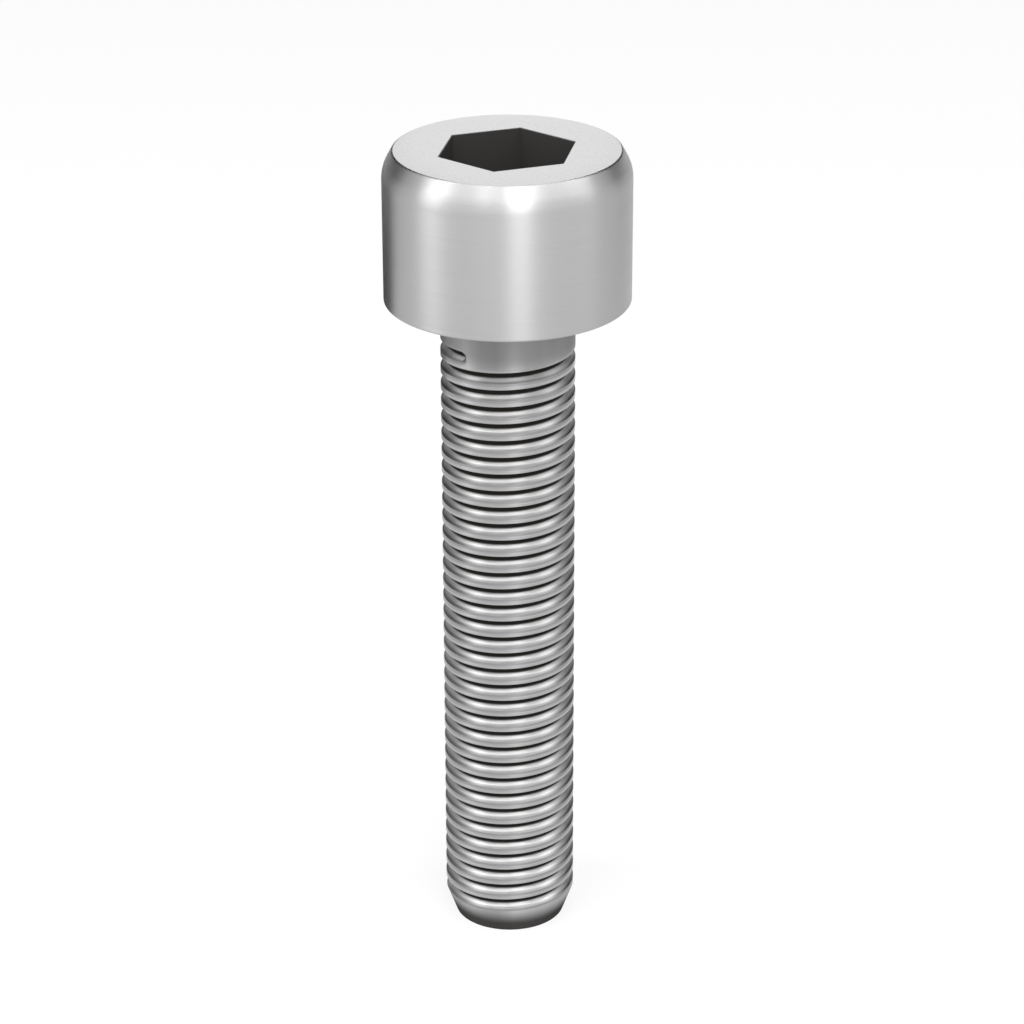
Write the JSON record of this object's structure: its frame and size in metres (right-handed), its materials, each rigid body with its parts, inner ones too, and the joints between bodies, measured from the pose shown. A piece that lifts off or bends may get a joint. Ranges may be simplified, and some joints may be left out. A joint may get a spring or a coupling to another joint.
{
  "type": "cylinder head bolt",
  "caption": "Cylinder head bolt: tall round head with a bevelled top and a hexagon socket, on a fully threaded shank with a coned point.",
  "frame": {"origin": "on the bolt's axis, in the bearing face under the head", "axes": "+Z along the axis, from the point to the head; one corner of the hexagon socket lies 19.6 degrees from +X towards +Y"},
  "size_m": [0.0144, 0.0144, 0.0497],
  "materials": {
    "bolt_steel": "bright turned and rolled steel, satin"
  },
  "bodies": {
    "root": {"bolt": "bolt_steel"}
  },
  "joints": []
}
